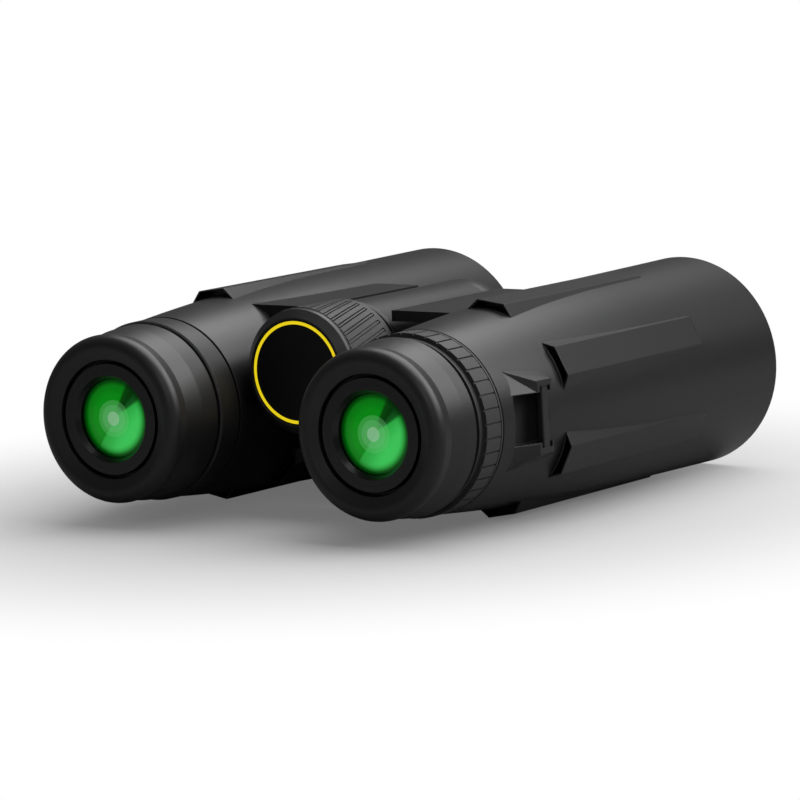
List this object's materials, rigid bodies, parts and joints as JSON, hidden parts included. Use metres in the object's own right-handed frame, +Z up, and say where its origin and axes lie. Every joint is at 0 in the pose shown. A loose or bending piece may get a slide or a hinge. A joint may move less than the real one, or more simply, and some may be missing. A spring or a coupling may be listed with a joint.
{
  "type": "binoculars",
  "caption": "Roof-prism binoculars with rubber armour, twist-up eyecups, a centre focus wheel, a dioptre ring and a folding hinge, for viewing distant things.",
  "frame": {"origin": "middle of the footprint, on the surface the two barrels lie on", "axes": "+X to the user's right, +Y from the eyepieces to the objectives, +Z up, barrels fully open"},
  "size_m": [0.1262, 0.143, 0.052],
  "materials": {
    "armour_rubber": "soft satin rubber, textured finely",
    "eyecup_rubber": "smooth satin rubber",
    "grip_rubber": "satin ribbed rubber",
    "seal_rubber": "plain black rubber",
    "housing_plastic": "matte black, glass filled",
    "eyecup_plastic": "matte black",
    "ring_plastic": "fine matte black",
    "badge_plastic": "black with a thin yellow ring",
    "gloss_black": "black enamel, satin",
    "anodised_black": "black anodised",
    "hub_aluminium": "black anodised",
    "bar_steel": "black coated steel",
    "steel": "bright turned steel",
    "brass": "turned brass",
    "washer_plastic": "natural acetal",
    "objective_glass": "green coated glass",
    "clear_glass": "clear optical glass",
    "eye_glass_green": "green coated glass"
  },
  "bodies": {
    "left_barrel": {"left_housing": "housing_plastic", "left_armour": "armour_rubber", "left_strap_bar": "bar_steel", "left_eyepiece_mount": "housing_plastic", "left_objective_lens": "objective_glass", "left_objective_cell": "anodised_black", "left_objective_retainer": "anodised_black", "left_objective_seal": "seal_rubber", "left_roof_prism": "clear_glass", "left_half_prism": "clear_glass", "left_prism_cage": "housing_plastic", "left_field_stop": "anodised_black", "left_ocular_tube": "anodised_black", "left_eyepiece_retainer": "gloss_black", "left_eye_lens": "eye_glass_green", "left_eyepiece_doublet": "clear_glass", "left_field_lens": "clear_glass", "left_eyepiece_collar": "ring_plastic", "hinge_axle": "steel", "hinge_end_nut": "hub_aluminium", "tripod_bush": "brass", "friction_washers": "washer_plastic", "spine_cover": "ring_plastic"},
    "right_barrel": {"right_housing": "housing_plastic", "right_armour": "armour_rubber", "right_strap_bar": "bar_steel", "right_eyepiece_mount": "housing_plastic", "right_objective_lens": "objective_glass", "right_objective_cell": "anodised_black", "right_objective_retainer": "anodised_black", "right_objective_seal": "seal_rubber", "right_roof_prism": "clear_glass", "right_half_prism": "clear_glass", "right_prism_cage": "housing_plastic", "right_field_stop": "anodised_black"},
    "right_ocular": {"right_ocular_tube": "anodised_black", "right_eyepiece_retainer": "gloss_black", "right_eye_lens": "eye_glass_green", "right_eyepiece_doublet": "clear_glass", "right_field_lens": "clear_glass"},
    "dioptre_ring": {"dioptre_ring": "ring_plastic"},
    "left_eyecup_slide": {"left_eyecup_sleeve": "eyecup_plastic"},
    "left_eyecup": {"left_eyecup_core": "eyecup_plastic", "left_eyecup_rubber": "eyecup_rubber"},
    "right_eyecup_slide": {"right_eyecup_sleeve": "eyecup_plastic"},
    "right_eyecup": {"right_eyecup_core": "eyecup_plastic", "right_eyecup_rubber": "eyecup_rubber"},
    "focus_wheel": {"focus_wheel_hub": "hub_aluminium", "focus_wheel_cap": "ring_plastic", "focus_wheel_badge": "badge_plastic", "focus_wheel_grip": "grip_rubber", "focus_screw": "steel"},
    "focus_carrier": {"focus_carrier": "brass"},
    "left_focus_cell": {"left_focus_cell": "anodised_black", "left_focus_lens": "clear_glass", "left_focus_arm": "anodised_black"},
    "right_focus_cell": {"right_focus_cell": "anodised_black", "right_focus_lens": "clear_glass", "right_focus_arm": "anodised_black"}
  },
  "joints": [
    {"name": "barrel_fold", "type": "hinge", "parent": "left_barrel", "child": "right_barrel", "pos_m": [0, 0, 0.0357], "axis": [0, 1, 0], "range_deg": [0, 56]},
    {"name": "focus_turn", "type": "hinge", "parent": "left_barrel", "child": "focus_wheel", "pos_m": [0, 0, 0.0357], "axis": [0, 1, 0], "range_deg": [-271, 271]},
    {"name": "focus_carrier_slide", "type": "slide", "parent": "left_barrel", "child": "focus_carrier", "axis": [0, 1, 0], "range_m": [-0.0025, 0.0025]},
    {"name": "left_focus_slide", "type": "slide", "parent": "left_barrel", "child": "left_focus_cell", "axis": [0, 1, 0], "range_m": [-0.0027, 0.0027]},
    {"name": "right_focus_slide", "type": "slide", "parent": "right_barrel", "child": "right_focus_cell", "axis": [0, 1, 0], "range_m": [-0.0027, 0.0027]},
    {"name": "dioptre_turn", "type": "hinge", "parent": "right_barrel", "child": "dioptre_ring", "pos_m": [0.0371, 0, 0.026], "axis": [0, 1, 0], "range_deg": [-61, 61]},
    {"name": "right_ocular_slide", "type": "slide", "parent": "right_barrel", "child": "right_ocular", "axis": [0, 1, 0], "range_m": [-0.0012, 0.0012]},
    {"name": "left_eyecup_rise", "type": "slide", "parent": "left_barrel", "child": "left_eyecup_slide", "axis": [0, -1, 0], "range_m": [0, 0.006]},
    {"name": "left_eyecup_twist", "type": "hinge", "parent": "left_eyecup_slide", "child": "left_eyecup", "pos_m": [-0.0371, 0, 0.026], "axis": [0, -1, 0], "range_deg": [-0.5, 90.5]},
    {"name": "right_eyecup_rise", "type": "slide", "parent": "right_ocular", "child": "right_eyecup_slide", "axis": [0, -1, 0], "range_m": [0, 0.006]},
    {"name": "right_eyecup_twist", "type": "hinge", "parent": "right_eyecup_slide", "child": "right_eyecup", "pos_m": [0.0371, 0, 0.026], "axis": [0, -1, 0], "range_deg": [-0.5, 90.5]}
  ],
  "couplings": [
    {"joint": "focus_turn", "follows": "focus_carrier_slide", "rad_per_m": 1885},
    {"joint": "left_focus_slide", "follows": "focus_carrier_slide", "ratio": 1},
    {"joint": "right_focus_slide", "follows": "focus_carrier_slide", "ratio": 1},
    {"joint": "dioptre_turn", "follows": "right_ocular_slide", "rad_per_m": 872.66},
    {"joint": "left_eyecup_twist", "follows": "left_eyecup_rise", "rad_per_m": 261.8},
    {"joint": "right_eyecup_twist", "follows": "right_eyecup_rise", "rad_per_m": 261.8}
  ]
}
